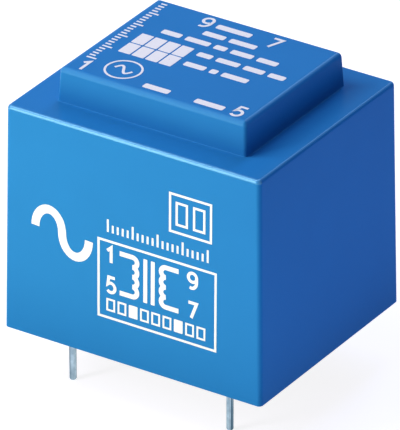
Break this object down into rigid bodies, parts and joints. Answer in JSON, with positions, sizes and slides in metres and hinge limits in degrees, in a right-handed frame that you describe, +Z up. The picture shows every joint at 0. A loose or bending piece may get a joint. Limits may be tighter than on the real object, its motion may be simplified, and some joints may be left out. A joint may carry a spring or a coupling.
{
  "type": "pcb transformer",
  "caption": "Potted mains transformer for circuit boards: a drafted, open-bottomed moulded case with a raised dome over the coil, resin-filled, on round solder pins.",
  "frame": {"origin": "middle of the case's rim, on the plane that meets the circuit board", "axes": "+Z up, away from the board; X along the pin rows and the case's longer side; -Y towards the primary row with the wider pin spacing"},
  "size_m": [0.0324, 0.0274, 0.0371],
  "materials": {
    "case_plastic": "satin moulded blue thermoplastic",
    "potting_resin": "cast dark resin, flat and slightly glossy",
    "bobbin_plastic": "natural moulded polyamide",
    "enamelled_copper": "enamelled copper wire, closely wound",
    "coil_tape": "amber polyester tape",
    "tinned_pin": "drawn wire, tinned bright",
    "solder": "dipped solder",
    "core_steel": "stamped electrical steel with a thin insulating coat"
  },
  "bodies": {
    "root": {"housing": "case_plastic", "potting_resin": "potting_resin", "bobbin": "bobbin_plastic", "primary_winding": "enamelled_copper", "secondary_winding": "enamelled_copper", "primary_tape": "coil_tape", "secondary_tape": "coil_tape", "e_sheets_01": "core_steel", "e_sheets_02": "core_steel", "e_sheets_03": "core_steel", "e_sheets_04": "core_steel", "e_sheets_05": "core_steel", "e_sheets_06": "core_steel", "e_sheets_07": "core_steel", "e_sheets_08": "core_steel", "e_sheets_09": "core_steel", "e_sheets_10": "core_steel", "e_sheets_11": "core_steel", "e_sheets_12": "core_steel", "e_sheets_13": "core_steel", "e_sheets_14": "core_steel", "e_sheets_15": "core_steel", "e_sheets_16": "core_steel", "e_sheets_17": "core_steel", "e_sheets_18": "core_steel", "i_sheets_01": "core_steel", "i_sheets_02": "core_steel", "i_sheets_03": "core_steel", "i_sheets_04": "core_steel", "i_sheets_05": "core_steel", "i_sheets_06": "core_steel", "i_sheets_07": "core_steel", "i_sheets_08": "core_steel", "i_sheets_09": "core_steel", "i_sheets_10": "core_steel", "i_sheets_11": "core_steel", "i_sheets_12": "core_steel", "i_sheets_13": "core_steel", "i_sheets_14": "core_steel", "i_sheets_15": "core_steel", "i_sheets_16": "core_steel", "i_sheets_17": "core_steel", "i_sheets_18": "core_steel", "primary_pin_1": "tinned_pin", "primary_pin_5": "tinned_pin", "secondary_pin_7": "tinned_pin", "secondary_pin_9": "tinned_pin", "solder_joint_1": "solder", "solder_joint_5": "solder", "solder_joint_7": "solder", "solder_joint_9": "solder"}
  },
  "joints": []
}
